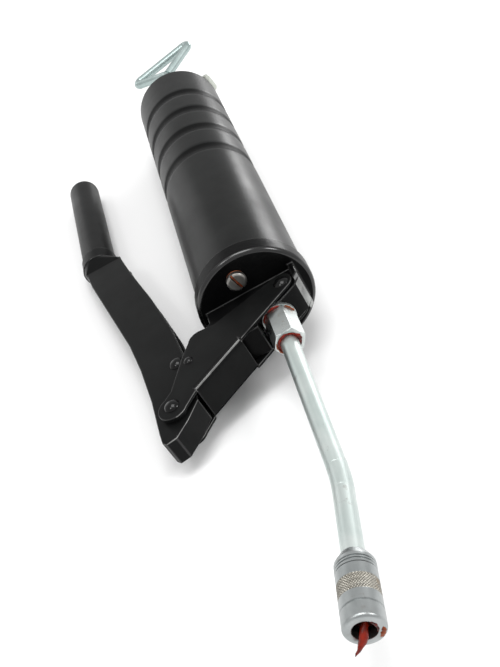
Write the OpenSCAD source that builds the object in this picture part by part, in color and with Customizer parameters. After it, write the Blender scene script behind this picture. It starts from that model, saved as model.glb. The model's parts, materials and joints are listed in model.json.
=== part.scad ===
// Lever grease gun for a 400 g cartridge, lying on its side as it is put down on a bench.
// Gun axes: barrel axis along X, outlet towards +X, head's front face at x = 0,
// lever on the -Y side, and the lever's swing plane at z = 0. place() then rolls the gun
// onto its lever and moves the origin to the middle of the bounding box's base.

/* [Barrel] */
// Outside diameter of the barrel tube
barrel_d = 57; // [50:0.5:64]
// Wall of the barrel tube
barrel_wall = 1.2; // [0.8:0.1:2]
// Distance from the head's front face to the rear rim
barrel_len = 253.6; // [220:0.1:320]
// Number of rolled grip grooves
groove_count = 4; // [0:1:5]
// Spacing of the grooves
groove_pitch = 29.3; // [20:0.1:34]
// Width of one groove
groove_w = 13; // [8:0.5:18]
// Depth of one groove
groove_depth = 0.8; // [0.3:0.1:1]
// Distance from the rear rim to the middle of the rearmost groove
groove_start = 40.6; // [25:0.1:60]
// Thickness of the end cap's flange
cap_t = 2; // [1.5:0.5:4]

/* [Head] */
// Diameter of the head's skirt
skirt_d = 60; // [58:0.5:68]
// Length of the head's skirt
skirt_len = 10.2; // [8:0.2:20]
// Thickness of the head's front wall
face_t = 4; // [3:0.5:6]
// Radius of the head's shoulder
shoulder_r = 2.4; // [1:0.2:4]
// Height of the pump axis in front of the head's face
pump_x = 22; // [20:0.5:26]
// Diameter of the pump bore
bore_d = 9; // [7:0.5:10]
// Sideways place of the outlet
outlet_y = 6.7; // [5:0.1:9]
// Distance from the head's face to the outlet face
outlet_x = 19.5; // [17:0.5:22]
// Half of the pump block's thickness
block_h = 8.2; // [7.6:0.1:9]
// Thread diameter of the outlet
outlet_thread_d = 10; // [8:1:10]

/* [Link] */
// Link pivot's distance in front of the head's face
pivot_x = 9.5; // [8.5:0.5:12]
// Link pivot's sideways place
pivot_y = 15; // [13:0.5:16]
// Distance between the link's two pivots
link_len = 80; // [72:1:100]
// Link direction at rest, from the barrel axis
link_dir = -57; // [-62:1:-52]
// Thickness of the link's sheet
link_t = 1.8; // [1.5:0.1:2.2]
// Clearance between the pump block and the link
link_gap = 0.4; // [0.3:0.1:1]
// Diameter of the pivot pins
pin_d = 5.8; // [5:0.2:6.4]

/* [Lever] */
// Width of the lever's channel
lever_w = 13.8; // [12:0.2:14.4]
// Thickness of the lever's sheet
lever_t = 1.7; // [1.2:0.1:2]
// How far the plunger pin lies beyond the lever's fulcrum, along the pump axis
pin_rise = 5.757; // [3:0.001:9]
// Diameter of the grip tube
grip_d = 19.5; // [17:0.5:24]
// Length of the grip tube
grip_len = 110; // [80:1:150]
// Slant of the grip from the barrel axis
grip_slant = 2; // [0:0.5:6]

/* [Nozzle] */
// Outside diameter of the delivery pipe
pipe_d = 8.6; // [8:0.2:10]
// Bore of the delivery pipe
pipe_bore_d = 3; // [2:0.5:4]
// Straight run of the pipe before its bend
pipe_run = 92.3; // [40:0.1:220]
// Straight run of the pipe after its bend
pipe_tail = 33.2; // [15:0.1:80]
// Bend angle of the pipe
pipe_bend = 10.7; // [5:0.1:40]
// Direction of the bend round the pipe
pipe_roll = 132; // [0:1:360]
// Width across the flats of the outlet adapter
hex_af = 14; // [13:0.5:15]
// Length of the outlet adapter's hexagon
adapter_len = 19.5; // [16:0.5:26]
// Length of the gland ring that holds the pipe
gland_len = 5; // [3:0.5:8]
// Diameter of the coupler
coupler_d = 14.8; // [14:0.2:17]
// Length of the coupler
coupler_len = 31; // [29:1:40]
// Diameter of the coupler's mouth
mouth_d = 8.6; // [8:0.1:10]

/* [Follower rod] */
// Diameter of the rod and its handle
rod_d = 6.5; // [5:0.5:7]
// How far the rod stands out of the end cap
rod_out = 72; // [20:1:120]
// Overall width of the handle
handle_w = 55.6; // [44:0.2:70]
// Slope of the handle's sides from its back
handle_slope = 41; // [38:1:60]
// Turn of the handle and the lock plate round the rod
handle_turn = 8.5; // [0:0.5:45]
// Coils of the follower spring
spring_turns = 13; // [8:1:16]

/* [Hidden] */
$fn = 64;
// Radial clearance of a running pin, of a screwed joint and of a sliding fit.
run_gap = 0.05;
fit_gap = 0.05;
slide_gap = 0.4;
// Small overlaps that join two shapes of one solid.
weld = 0.02;
lap = 0.2;
lap_r = 0.03;

barrel_r = barrel_d / 2;
tube_in_r = barrel_r - barrel_wall;
skirt_r = skirt_d / 2;
gasket_t = 1.2;
tube_front = -face_t - gasket_t;
tube_rear = -barrel_len + cap_t;

pivot = [pivot_x, pivot_y];
link_fwd = [cos(link_dir), sin(link_dir)];
link_side = [-sin(link_dir), cos(link_dir)];
fulcrum = pivot + link_len * link_fwd;
// The plunger pin lies on the pump axis.
pin_y = fulcrum[1] + pin_rise;
plunger_pin_at = [pump_x, pin_y];

link_in = block_h + link_gap;
link_out = link_in + link_t;
lever_h = lever_w / 2;
lever_in = lever_h - lever_t;
pin_r = pin_d / 2;
pin_hole_r = pin_r + run_gap;
rivet_head_r = pin_r + 0.95;

// Pump block: its mouth, the bottom of its bore, the plunger and its packing.
pump_mouth_y = -37;
bore_bottom_y = -4;
pump_wall = 2.5;
bore_r = bore_d / 2;
plunger_r = bore_r - run_gap;
plunger_tip_y = bore_bottom_y - 1;
packing_depth = 4;
packing_r = bore_r + 1.6;
inlet_y = -18;
inlet_r = 3.5;
eye_r = 6.8;
eye_h = lever_in - 0.7;
// The plunger's eye is slotted, because the pin swings about the fulcrum.
eye_pin_r = 2.5;
eye_slot_x = 1.5;
eye_hole_r = eye_pin_r + 1.5;

// Check valve in the outlet.
outlet_r = outlet_thread_d / 2;
seat_x = 9.5;
seat_r = 2;
ball_r = 3;
ball_x = seat_x + sqrt(pow(ball_r, 2) - pow(seat_r, 2));
washer_t = 1.5;
adapter_x = outlet_x + washer_t;
thread_len = 6;
adapter_front = adapter_x + adapter_len;
pipe_r = pipe_d / 2;
spring_wire = 0.6;

// Pipe: it leans slightly in its socket, runs straight, then bends.
pipe_start_x = 29;
pipe_lean = -1.4;
bend_r = 70;
gland_r = pipe_r + 1.5;
gland_recess = 1.2;

// Coupler, measured along its own axis from its rear end.
coupler_r = coupler_d / 2;
rim_round = 1.2;
pipe_grip = 8;
body_len = 8;
joint_gap = 0.3;
spigot_r = coupler_r - 1.4;
spigot_to = 14;
chamber_r = 3.6;
chamber_at = 9.5;
mouth_r = mouth_d / 2;
mouth_len = 3.2;
nipple_stop = coupler_len - mouth_len;
seal_from = 12.6;
jaw_from = seal_from + 3.7;
jaw_r = spigot_r - 0.6;
jaw_hole_r = 3.3;

// Follower and its rod.
rod_r = rod_d / 2;
rod_tip_x = -(rod_out + 5.5);
nut_af = 10;
plate_t = 1.5;
plate_r = tube_in_r - 3.3;
cup_t = 4;
cup_lip = 9;
spring_wire_r = 1.25;
spring_r = 21;
apex_x = -(barrel_len + rod_out);
loop_bend_r = 3.6;
// Where the straight lines of the handle's bends would meet, from the rod's axis.
handle_corner = handle_w / 2 - rod_r - loop_bend_r + loop_bend_r / tan(handle_slope / 2);
handle_len = handle_corner * tan(handle_slope);

// Rod lock plate behind the end cap.
lock_pivot_y = -15;
lock_reach = 30.6;
lock_w = 14;
lock_t = 1.6;
lock_round = 3;
lock_lift = 1.2;
lock_tilt = 5;

// Vent screw on the head's face.
vent_y = -3.3;
vent_z = 18;
vent_head_r = 5;
vent_head_t = 3;
vent_thread_r = 3;
vent_washer_t = 0.8;

// Grip tube: its start, relative to the fulcrum, and its far end.
grip_start = [-158, -27.9];
neck_len = 9;
neck_wall = 0.8;
grip_r = grip_d / 2;
grip_wall = 1.5;
grip_dome = 6;
grip_far = fulcrum + grip_start - grip_len * [cos(grip_slant), sin(grip_slant)];

// The gun is rolled until the grip tube and the head's skirt touch the bench.
lie_roll = asin((skirt_r - grip_r) / -grip_far[1]);
tab_dir = handle_turn + lie_roll;
low_y = (grip_far[1] + grip_dome * sin(grip_slant)) * cos(lie_roll) - grip_r;
high_y = max(skirt_r, (lock_reach - lock_round) * cos(tab_dir)
    + (lock_w / 2 - lock_round) * sin(tab_dir) + lock_round);

// Where the pipe ends up: the end of the set, of the bend and of the coupler.
function turn(p, a) = [p[0] * cos(a) - p[1] * sin(a), p[0] * sin(a) + p[1] * cos(a), p[2]];
function after_bend(s) = let (side = bend_r * (1 - cos(pipe_bend)) + s * sin(pipe_bend))
    [pipe_run + bend_r * sin(pipe_bend) + s * cos(pipe_bend),
     side * cos(pipe_roll), side * sin(pipe_roll)];
mouth_at = [pipe_start_x, outlet_y, 0]
    + turn(after_bend(pipe_tail + coupler_len), pipe_lean);
far_x = mouth_at[0] + (coupler_r - rim_round) * sin(pipe_bend + abs(pipe_lean) * 0.7);
near_x = apex_x - handle_len - rod_r;

// ---- placing and shared shapes ----

module place() {
    translate([-(far_x + near_x) / 2, -(low_y + high_y) / 2, skirt_r])
        rotate([lie_roll, 0, 0]) children();
}

// Turns an outline of [radius, x] points about the X axis.
module turned(points) {
    rotate([0, 90, 0]) rotate_extrude() polygon(points);
}

// A round bar along X from x0 to x1.
module bar(r, x0, x1) {
    translate([x0, 0, 0]) rotate([0, 90, 0]) cylinder(r = r, h = x1 - x0);
}

// A ring along X from x0 to x1.
module ring(r_out, r_in, x0, x1) {
    turned([[r_in, x0], [r_out, x0], [r_out, x1], [r_in, x1]]);
}

// A hexagonal bar along X with chamfered corners at both ends.
module hex_bar(af, x0, x1, turn_by = 0) {
    corner_r = af / sqrt(3);
    chamfer = (corner_r - af / 2) * 0.6;
    intersection() {
        translate([x0, 0, 0]) rotate([turn_by, 0, 0]) rotate([0, 90, 0])
            cylinder(r = corner_r, h = x1 - x0, $fn = 6);
        turned([
            [0, x0], [af / 2, x0], [corner_r, x0 + chamfer],
            [corner_r, x1 - chamfer], [af / 2, x1], [0, x1]
        ]);
    }
}

// A round hole or pin along Z through the point p.
module post(p, r, z0, z1) {
    translate([p[0], p[1], z0]) cylinder(r = r, h = z1 - z0);
}

// A low domed rivet head that stands on z = base.
module rivet_head(p, r, base, rise) {
    ball = (r * r + rise * rise) / (2 * rise);
    translate([p[0], p[1], base]) intersection() {
        cylinder(r = r, h = rise);
        translate([0, 0, rise - ball]) sphere(r = ball);
    }
}

// A pin along Z with a domed head at each end.
module riveted_pin(p, r, head_r, half_len, rise) {
    post(p, r, -half_len, half_len);
    for (side = [0, 1]) mirror([0, 0, side]) rivet_head(p, head_r, half_len, rise);
}

// A coil spring along X, swept as an 8-sided wire.
module coil(r, wire_r, x0, x1, turns, r_end = 0) {
    sides = 8;
    per_turn = 18;
    rings = floor(turns * per_turn);
    last_r = r_end == 0 ? r : r_end;
    rise = x1 - x0 - 2 * wire_r;
    function spot(i, j) = let (
        a = 360 * i / per_turn,
        b = 360 * j / sides,
        here = r + (last_r - r) * i / rings + wire_r * cos(b)
    ) [x0 + wire_r + rise * i / rings + wire_r * sin(b), here * cos(a), here * sin(a)];
    walls = [for (i = [0 : rings - 1], j = [0 : sides - 1])
        [i * sides + j, i * sides + (j + 1) % sides,
         (i + 1) * sides + (j + 1) % sides, (i + 1) * sides + j]];
    polyhedron(
        points = [for (i = [0 : rings], j = [0 : sides - 1]) spot(i, j)],
        faces = concat(
            [[for (j = [0 : sides - 1]) sides - 1 - j]],
            walls,
            [[for (j = [0 : sides - 1]) rings * sides + j]]
        )
    );
}

// ---- barrel ----

// Depth of the grooves at a distance from the middle of one of them.
function groove_dip(d) = abs(d) >= groove_w / 2 ? 0
    : groove_depth * (1 + cos(360 * d / groove_w)) / 2;

module barrel_tube() {
    steps = 12;
    outline = [for (k = [0 : groove_count - 1], i = [0 : steps])
        let (d = groove_w * (i / steps - 0.5))
        [barrel_r - groove_dip(d), -barrel_len + groove_start + k * groove_pitch + d]];
    color([0.11, 0.11, 0.12]) turned(concat(
        [[barrel_r, tube_rear]],
        outline,
        [[barrel_r, tube_front], [tube_in_r, tube_front], [tube_in_r, tube_rear]]
    ));
}

module barrel_end_cap() {
    spigot = tube_in_r - fit_gap;
    color([0.09, 0.09, 0.1]) difference() {
        turned([
            [0, -barrel_len], [barrel_r - 1, -barrel_len], [barrel_r, -barrel_len + 1],
            [barrel_r, tube_rear], [spigot, tube_rear], [spigot, tube_rear + 8],
            [spigot - 1.2, tube_rear + 8], [spigot - 1.2, tube_rear], [0, tube_rear]
        ]);
        bar(rod_r + slide_gap, -barrel_len - 1, tube_rear + 1);
    }
}

module barrel_gasket() {
    color([0.05, 0.05, 0.05]) ring(barrel_r - 0.2, tube_in_r - 1, tube_front, -face_t);
}

// ---- head ----

// Plan of the pump block: end ear, outlet shoulder, then the pump barrel.
module block_plan() {
    front = pump_x + bore_r + pump_wall;
    polygon([
        [-1, 24], [8.5, 24], [13, 21], [15.8, 17], [outlet_x, 11],
        [outlet_x, bore_bottom_y + 1], [front, bore_bottom_y + 1], [front, pump_mouth_y],
        [pump_x - bore_r - pump_wall, pump_mouth_y], [14, -33], [8, -25], [-1, -25]
    ]);
}

module head_cup() {
    bore = barrel_r + fit_gap;
    arc_steps = 8;
    shoulder = [for (i = [0 : arc_steps])
        let (a = 90 * i / arc_steps)
        [skirt_r - shoulder_r * (1 - sin(a)), -shoulder_r * (1 - cos(a))]];
    turned(concat(
        [[0, 0]], shoulder,
        [[skirt_r, -skirt_len], [bore, -skirt_len], [bore, -face_t], [0, -face_t]]
    ));
}

module head_casting() {
    passage_from = [6.5, outlet_y];
    passage_to = [pump_x, bore_bottom_y - 1];
    passage = passage_to - passage_from;
    color([0.1, 0.1, 0.11]) difference() {
        union() {
            head_cup();
            translate([0, 0, -block_h]) linear_extrude(2 * block_h) block_plan();
            translate([-1, 21.4, -11]) linear_extrude(22)
                polygon([[0, 0], [12.6, 0], [9.5, 2.6], [0, 2.6]]);
        }
        // Pump bore, with its packing recess at the mouth.
        translate([pump_x, bore_bottom_y, 0]) rotate([90, 0, 0]) cylinder(r = bore_r, h = 60);
        translate([pump_x, pump_mouth_y + packing_depth, 0]) rotate([90, 0, 0])
            cylinder(r = packing_r, h = 20);
        // Grease inlet from the barrel into the pump bore.
        translate([0, inlet_y, 0]) bar(inlet_r, -face_t - 1, pump_x);
        // Outlet: threaded hole, valve seat and the passage from the pump bore.
        translate([0, outlet_y, 0]) {
            bar(outlet_r, seat_x, outlet_x + 1);
            bar(seat_r, 5, seat_x + 1);
        }
        translate([passage_from[0], passage_from[1], 0])
            rotate([0, 0, atan2(passage[1], passage[0])]) bar(1.5, 0, norm(passage));
        post(pivot, pin_hole_r, -20, 20);
        translate([0, vent_y, vent_z]) bar(vent_thread_r + run_gap, -face_t - 1, 1);
    }
}

module plunger_packing() {
    color([0.06, 0.06, 0.06]) translate([pump_x, pump_mouth_y + 0.4, 0]) rotate([-90, 0, 0])
        difference() {
            cylinder(r = packing_r - fit_gap, h = packing_depth - 0.5);
            translate([0, 0, -1]) cylinder(r = bore_r, h = packing_depth + 2);
        }
}

module pump_plunger() {
    color([0.7, 0.71, 0.73]) difference() {
        union() {
            translate([pump_x, plunger_tip_y, 0]) rotate([90, 0, 0])
                cylinder(r = plunger_r, h = plunger_tip_y - pin_y);
            post(plunger_pin_at, eye_r, -eye_h, eye_h);
        }
        for (side = [-1, 1]) post(plunger_pin_at + [side * eye_slot_x, 0], eye_hole_r, -20, 20);
        translate([pump_x - eye_slot_x, pin_y - eye_hole_r, -20])
            cube([2 * eye_slot_x, 2 * eye_hole_r, 40]);
    }
}

module check_ball() {
    color([0.8, 0.8, 0.82]) translate([ball_x, outlet_y, 0]) sphere(r = ball_r);
}

module check_spring() {
    color([0.7, 0.7, 0.72]) translate([0, outlet_y, 0])
        coil(2.2, spring_wire / 2, ball_x + ball_r - 0.6, adapter_x - 1.6, 4);
}

module vent_screw() {
    head_x = vent_washer_t;
    color([0.78, 0.79, 0.78]) translate([0, vent_y, vent_z]) difference() {
        union() {
            bar(vent_thread_r, -face_t, head_x + 1);
            turned([
                [0, head_x], [vent_head_r, head_x], [vent_head_r, head_x + vent_head_t - 0.8],
                [vent_head_r - 0.8, head_x + vent_head_t], [0, head_x + vent_head_t]
            ]);
        }
        rotate([-76, 0, 0]) translate([head_x + vent_head_t - 1.6, -vent_head_r - 1, -0.7])
            cube([3, 2 * vent_head_r + 2, 1.4]);
    }
}

module vent_washer() {
    color([0.5, 0.3, 0.16]) translate([0, vent_y, vent_z])
        ring(vent_head_r - 0.3, vent_thread_r + 0.1, 0, vent_washer_t);
}

// ---- link ----

// Puts children in the link's own axes: X from the pivot to the fulcrum, Y to its web.
module at_link() {
    translate([pivot[0], pivot[1], 0]) rotate([0, 0, link_dir]) children();
}

link_front = 5.2;
link_web_from = 36;
link_web_to = link_len - 12;
link_corner_r = 3;
stop_at = [link_len - 23.8, -13.1];

module link_flange_plan() {
    end_y = -0.7;
    translate([0, end_y]) circle(r = link_front - end_y);
    translate([link_len + 0.3, 0.9]) circle(r = 7.3);
    translate([43.6, -17.2]) circle(r = 6.5);
    polygon([
        [0, link_front], [link_web_to, link_front], [link_len + 0.3, 8.2],
        [link_len + 3, -5.6], [link_len - 6, -7.2], [link_len - 23, -17.6],
        [47.4, -22.4], [39, -21.8], [33.2, -16.9], [0, -6.6]
    ]);
}

// Cross-section of the link with its web: X towards the web, Y along the pins.
module link_section() {
    difference() {
        union() {
            translate([-40, -link_out]) square([40 + link_front - link_corner_r, 2 * link_out]);
            translate([0, -link_out + link_corner_r])
                square([link_front, 2 * (link_out - link_corner_r)]);
            for (side = [-1, 1])
                translate([link_front - link_corner_r, side * (link_out - link_corner_r)])
                    circle(r = link_corner_r);
        }
        translate([-50, -link_in]) square([50 + link_front - link_t, 2 * link_in]);
    }
}

module link_channel() {
    color([0.1, 0.1, 0.11]) at_link() difference() {
        union() {
            for (side = [0, 1]) mirror([0, 0, side]) translate([0, 0, link_in]) difference() {
                linear_extrude(link_t) link_flange_plan();
                translate([link_web_from, 0.5, -1])
                    cube([link_web_to - link_web_from, 10, link_t + 2]);
            }
            intersection() {
                translate([0, 0, -link_out]) linear_extrude(2 * link_out) link_flange_plan();
                translate([link_web_from - weld, 0, 0]) rotate([90, 0, 90])
                    linear_extrude(link_web_to - link_web_from + 2 * weld) link_section();
            }
        }
        post([0, 0], pin_hole_r, -20, 20);
        post([link_len, 0], pin_hole_r, -20, 20);
        post(stop_at, 1.8 + run_gap, -20, 20);
    }
}

module link_pivot_pin() {
    color([0.1, 0.1, 0.11]) riveted_pin(pivot, pin_r, rivet_head_r, link_out + run_gap, 1.8);
}

module fulcrum_pin() {
    color([0.1, 0.1, 0.11]) riveted_pin(fulcrum, pin_r, rivet_head_r, link_out + run_gap, 2);
}

module fulcrum_washers() {
    gap = link_in - lever_h;
    color([0.6, 0.6, 0.62]) for (side = [0, 1]) mirror([0, 0, side])
        translate([fulcrum[0], fulcrum[1], lever_h + 0.1]) difference() {
            cylinder(r = 6, h = gap - 0.2);
            translate([0, 0, -1]) cylinder(r = pin_hole_r, h = gap + 2);
        }
}

module stop_rivets() {
    color([0.1, 0.1, 0.11]) at_link() for (side = [0, 1]) mirror([0, 0, side]) {
        post(stop_at, 1.8, lever_in, link_out + 0.1);
        rivet_head(stop_at, 2.4, link_out + run_gap, 1.2);
    }
}

// ---- lever ----

// Outline of the lever's web side, from the neck to the nose, about the fulcrum.
web_line = [[-149, -34.6], [-134, -32.3], [-98.3, -24.2], [-62.7, -16.2], [-40.2, -12.9],
    [-14.3, -10.5], [8.9, -9.8]];
// Outline of the nose, and of the flanges' free edge back to the neck.
nose_line = [[15.6, -9.3], [17.9, -7.4], [16.9, -2.2], [9.6, 4.9], [0.4, 11.6]];
free_line = [[-37.5, 10], [-61, 7.3], [-93.9, 0.5], [-127.1, -7.7], [-149, -12.2]];

module lever_plan() {
    polygon(concat(web_line, nose_line, free_line));
}

// The hollow of the channel: its plan moved in by the sheet, open at the free edge.
module lever_hollow_plan() {
    nose_in = [[-1.3, 1], [-1.3, 0], [-1.2, -0.4], [-0.7, -0.8], [-0.8, -0.7]];
    polygon(concat(
        [for (p = web_line) p + [0, lever_t]],
        [for (i = [0 : 4]) nose_line[i] + lever_t * nose_in[i]],
        [[-0.96, 30], [-60, 30], [-149, 0]]
    ));
}

// The neck, from inside the channel's end to the round socket, as a solid.
module neck_solid(shrink) {
    inset = shrink + 0.05;
    hull() {
        translate([-149, -34.6 + inset, -lever_h + inset])
            cube([1, 22.4 - 2 * inset, lever_w - 2 * inset]);
        translate([grip_start[0], grip_start[1], 0]) rotate([0, 0, grip_slant])
            rotate([0, 90, 0]) cylinder(r = grip_r + neck_wall - 0.3 - shrink, h = 0.5, $fn = 32);
    }
}

module at_lever() {
    translate([fulcrum[0], fulcrum[1], 0]) children();
}

module at_grip() {
    at_lever() translate([grip_start[0], grip_start[1], 0]) rotate([0, 0, 180 + grip_slant])
        children();
}

module lever_channel() {
    pin_from_fulcrum = plunger_pin_at - fulcrum;
    color([0.1, 0.1, 0.11]) union() {
        at_lever() difference() {
            union() {
                translate([0, 0, -lever_h]) linear_extrude(lever_w) lever_plan();
                neck_solid(0);
            }
            translate([0, 0, -lever_in]) linear_extrude(2 * lever_in) lever_hollow_plan();
            neck_solid(lever_t);
            post([0, 0], pin_hole_r, -20, 20);
            post(pin_from_fulcrum, eye_pin_r + 0.02, -20, 20);
        }
        at_grip() ring(grip_r + neck_wall, grip_r + 0.02, -0.4, neck_len);
    }
}

module grip_tube() {
    wall_r = grip_r - grip_wall;
    arc_steps = 6;
    end_arc = [for (i = [1 : arc_steps])
        let (a = 90 * i / arc_steps)
        [grip_r - grip_dome * (1 - cos(a)), grip_len - grip_dome * (1 - sin(a))]];
    color([0.09, 0.09, 0.1]) at_grip() turned(concat(
        [[wall_r, 0], [grip_r, 0]],
        [[grip_r, grip_len - grip_dome]],
        end_arc,
        [[0, grip_len], [0, grip_len - grip_wall], [wall_r - 4, grip_len - grip_wall],
         [wall_r, grip_len - grip_dome]]
    ));
}

module plunger_pin() {
    color([0.1, 0.1, 0.11]) riveted_pin(plunger_pin_at, eye_pin_r, 3.8, lever_h + 0.03, 2);
}

// ---- outlet and pipe ----

module outlet_washer() {
    color([0.75, 0.76, 0.75]) translate([0, outlet_y, 0])
        ring(block_h + 0.2, outlet_r + 0.2, outlet_x, adapter_x);
}

module outlet_adapter() {
    color([0.78, 0.79, 0.78]) difference() {
        translate([0, outlet_y, 0]) union() {
            hex_bar(hex_af, adapter_x, adapter_front, 30);
            bar(outlet_r - fit_gap, adapter_x - thread_len, adapter_x + 1);
        }
        translate([0, outlet_y, 0]) bar(3, adapter_x - thread_len - 1, adapter_x - 1.5);
        translate([0, outlet_y, 0]) bar(1.8, adapter_x - thread_len, pipe_start_x + 1);
        at_pipe() bar(pipe_r + fit_gap, -0.2, adapter_len);
        at_pipe() bar(gland_r, adapter_front - pipe_start_x - gland_recess - gland_len, 30);
    }
}

module pipe_gland() {
    front = adapter_front - pipe_start_x - gland_recess;
    color([0.78, 0.79, 0.78]) at_pipe()
        ring(gland_r - fit_gap, pipe_r + fit_gap, front - gland_len + 0.1, front);
}

// Puts children at the start of the pipe, then at the coupler's rear end.
module at_pipe() {
    translate([pipe_start_x, outlet_y, 0]) rotate([0, 0, pipe_lean]) children();
}

module at_coupler() {
    at_pipe() translate([pipe_run, 0, 0]) rotate([pipe_roll, 0, 0])
        translate([bend_r * sin(pipe_bend), bend_r * (1 - cos(pipe_bend)), 0])
        rotate([0, 0, pipe_bend]) translate([pipe_tail, 0, 0]) children();
}

// Part of a ring that leaves the origin along X and turns by a signed angle. It is a
// hair thicker than the straight bars, which run a little way into its ends.
module elbow(r, corner_r, a) {
    translate([0, sign(a) * corner_r, 0]) rotate([0, 0, a > 0 ? -90 : 90 + a])
        rotate_extrude(angle = abs(a)) translate([corner_r, 0]) circle(r = r + lap_r);
}

module pipe_core(r, over) {
    at_pipe() {
        bar(r, -over, pipe_run + lap);
        translate([pipe_run, 0, 0]) rotate([pipe_roll, 0, 0]) elbow(r, bend_r, pipe_bend);
    }
    at_coupler() bar(r, -pipe_tail - lap, pipe_grip + over);
}

module delivery_pipe() {
    color([0.8, 0.82, 0.8]) difference() {
        pipe_core(pipe_r, 0);
        pipe_core(pipe_bore_d / 2, 1);
    }
}

// ---- coupler ----

module coupler_body() {
    groove = coupler_r - 0.45;
    color([0.74, 0.76, 0.76]) at_coupler() difference() {
        turned([
            [0, 0], [pipe_r + 0.9, 0], [coupler_r, 3.8],
            [coupler_r, 5.3], [groove, 5.5], [groove, 5.8], [coupler_r, 6],
            [coupler_r, 6.5], [groove, 6.7], [groove, 7], [coupler_r, 7.2],
            [coupler_r, body_len], [spigot_r, body_len], [spigot_r, spigot_to], [0, spigot_to]
        ]);
        bar(pipe_r + fit_gap, -1, pipe_grip + 0.1);
        bar(1.6, pipe_grip, chamber_at + 1);
        bar(chamber_r, chamber_at, spigot_to + 1);
    }
}

module coupler_sleeve() {
    rear = body_len + joint_gap;
    groove_x = coupler_len - 6.7;
    rim_steps = 6;
    rim = [for (i = [0 : rim_steps])
        let (a = 90 * i / rim_steps)
        [coupler_r - rim_round * (1 - cos(a)), coupler_len - rim_round * (1 - sin(a))]];
    color([0.76, 0.78, 0.78]) at_coupler() turned(concat(
        [[spigot_r + fit_gap, rear], [coupler_r, rear], [coupler_r, groove_x - 0.4],
         [coupler_r - 0.4, groove_x - 0.2], [coupler_r - 0.4, groove_x + 0.2],
         [coupler_r, groove_x + 0.4]],
        rim,
        [[mouth_r, coupler_len], [mouth_r, nipple_stop],
         [spigot_r + fit_gap, nipple_stop - 1.4]]
    ));
}

module coupler_jaws() {
    jaw_to = nipple_stop - 1.7;
    slit = 0.8;
    color([0.45, 0.46, 0.48]) at_coupler() difference() {
        turned([
            [jaw_hole_r + 0.5, jaw_from], [jaw_r, jaw_from], [jaw_r, jaw_to - 1],
            [jaw_r - 1, jaw_to], [jaw_hole_r + 0.6, jaw_to], [jaw_hole_r, jaw_to - 0.8]
        ]);
        for (a = [45, 135]) rotate([a, 0, 0])
            translate([jaw_from - 1, -slit / 2, -20]) cube([20, slit, 40]);
    }
}

module coupler_seal() {
    color([0.06, 0.06, 0.06]) at_coupler() ring(chamber_r - 0.1, 1.2, seal_from, jaw_from - 0.3);
}

module coupler_spring() {
    color([0.6, 0.6, 0.62]) at_coupler()
        coil(2.6, 0.3, chamber_at + 0.1, seal_from - 0.1, 3);
}

// ---- follower, rod and lock ----

module follower_nut() {
    color([0.7, 0.71, 0.72]) difference() {
        hex_bar(nut_af, rod_tip_x - 5.2, rod_tip_x - 0.4);
        bar(rod_r + 0.02, rod_tip_x - 6, rod_tip_x + 1);
    }
}

front_plate_x = rod_tip_x - 5.3 - plate_t;
cup_x = front_plate_x - 0.1;
back_plate_x = cup_x - cup_t - 0.1 - plate_t;

module follower_front_plate() {
    color([0.6, 0.61, 0.62]) ring(plate_r - 3, rod_r + 0.05, front_plate_x, front_plate_x + plate_t);
}

module follower_cup() {
    lip_r = tube_in_r - slide_gap;
    color([0.07, 0.07, 0.07]) turned([
        [rod_r + 0.05, cup_x], [plate_r, cup_x], [lip_r, cup_x + 2], [lip_r, cup_x - cup_lip],
        [lip_r - 2, cup_x - cup_lip], [lip_r - 2.6, cup_x - cup_t], [rod_r + 0.05, cup_x - cup_t]
    ]);
}

module follower_back_plate() {
    color([0.6, 0.61, 0.62]) ring(plate_r - 0.4, rod_r + 0.05, back_plate_x, back_plate_x + plate_t);
}

module follower_spring() {
    color([0.5, 0.5, 0.52]) coil(spring_r, spring_wire_r, tube_rear + 0.1, back_plate_x - 0.1,
        spring_turns);
}

// A bar that follows corner points in the XY plane, with a bend at each inner corner.
module bent_wire(spots, r, corner_r) {
    last = len(spots) - 1;
    function heading(i) = atan2(spots[i + 1][1] - spots[i][1], spots[i + 1][0] - spots[i][0]);
    function swing(i) = let (d = heading(i) - heading(i - 1))
        d > 180 ? d - 360 : d < -180 ? d + 360 : d;
    function cut(i) = i == 0 || i == last ? 0 : corner_r * tan(abs(swing(i)) / 2);
    for (i = [0 : last - 1])
        translate([spots[i][0], spots[i][1], 0]) rotate([0, 0, heading(i)])
            bar(r, cut(i) - (i == 0 ? 0 : lap),
                norm(spots[i + 1] - spots[i]) - cut(i + 1) + (i + 1 == last ? 0 : lap));
    for (i = [1 : last - 1])
        translate([spots[i][0], spots[i][1], 0]) rotate([0, 0, heading(i - 1)])
            translate([-cut(i), 0, 0]) elbow(r, corner_r, swing(i));
}

module follower_rod() {
    back = apex_x - handle_len;
    color([0.8, 0.82, 0.81]) rotate([handle_turn, 0, 0]) union() {
        bent_wire([
            [rod_tip_x, 0], [apex_x, 0], [back, -handle_corner], [back, handle_corner],
            [apex_x + 0.3, 1.4]
        ], rod_r, loop_bend_r);
        bar(rod_r + 2, back_plate_x - 2.2, back_plate_x - 0.1);
    }
}

// Puts children in the lock plate's axes: pivot at the staple, X forwards, Y to the tab.
module at_lock(tilt) {
    rotate([handle_turn, 0, 0]) translate([-barrel_len - lock_lift, lock_pivot_y, 0])
        rotate([0, 0, tilt]) children();
}

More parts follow.
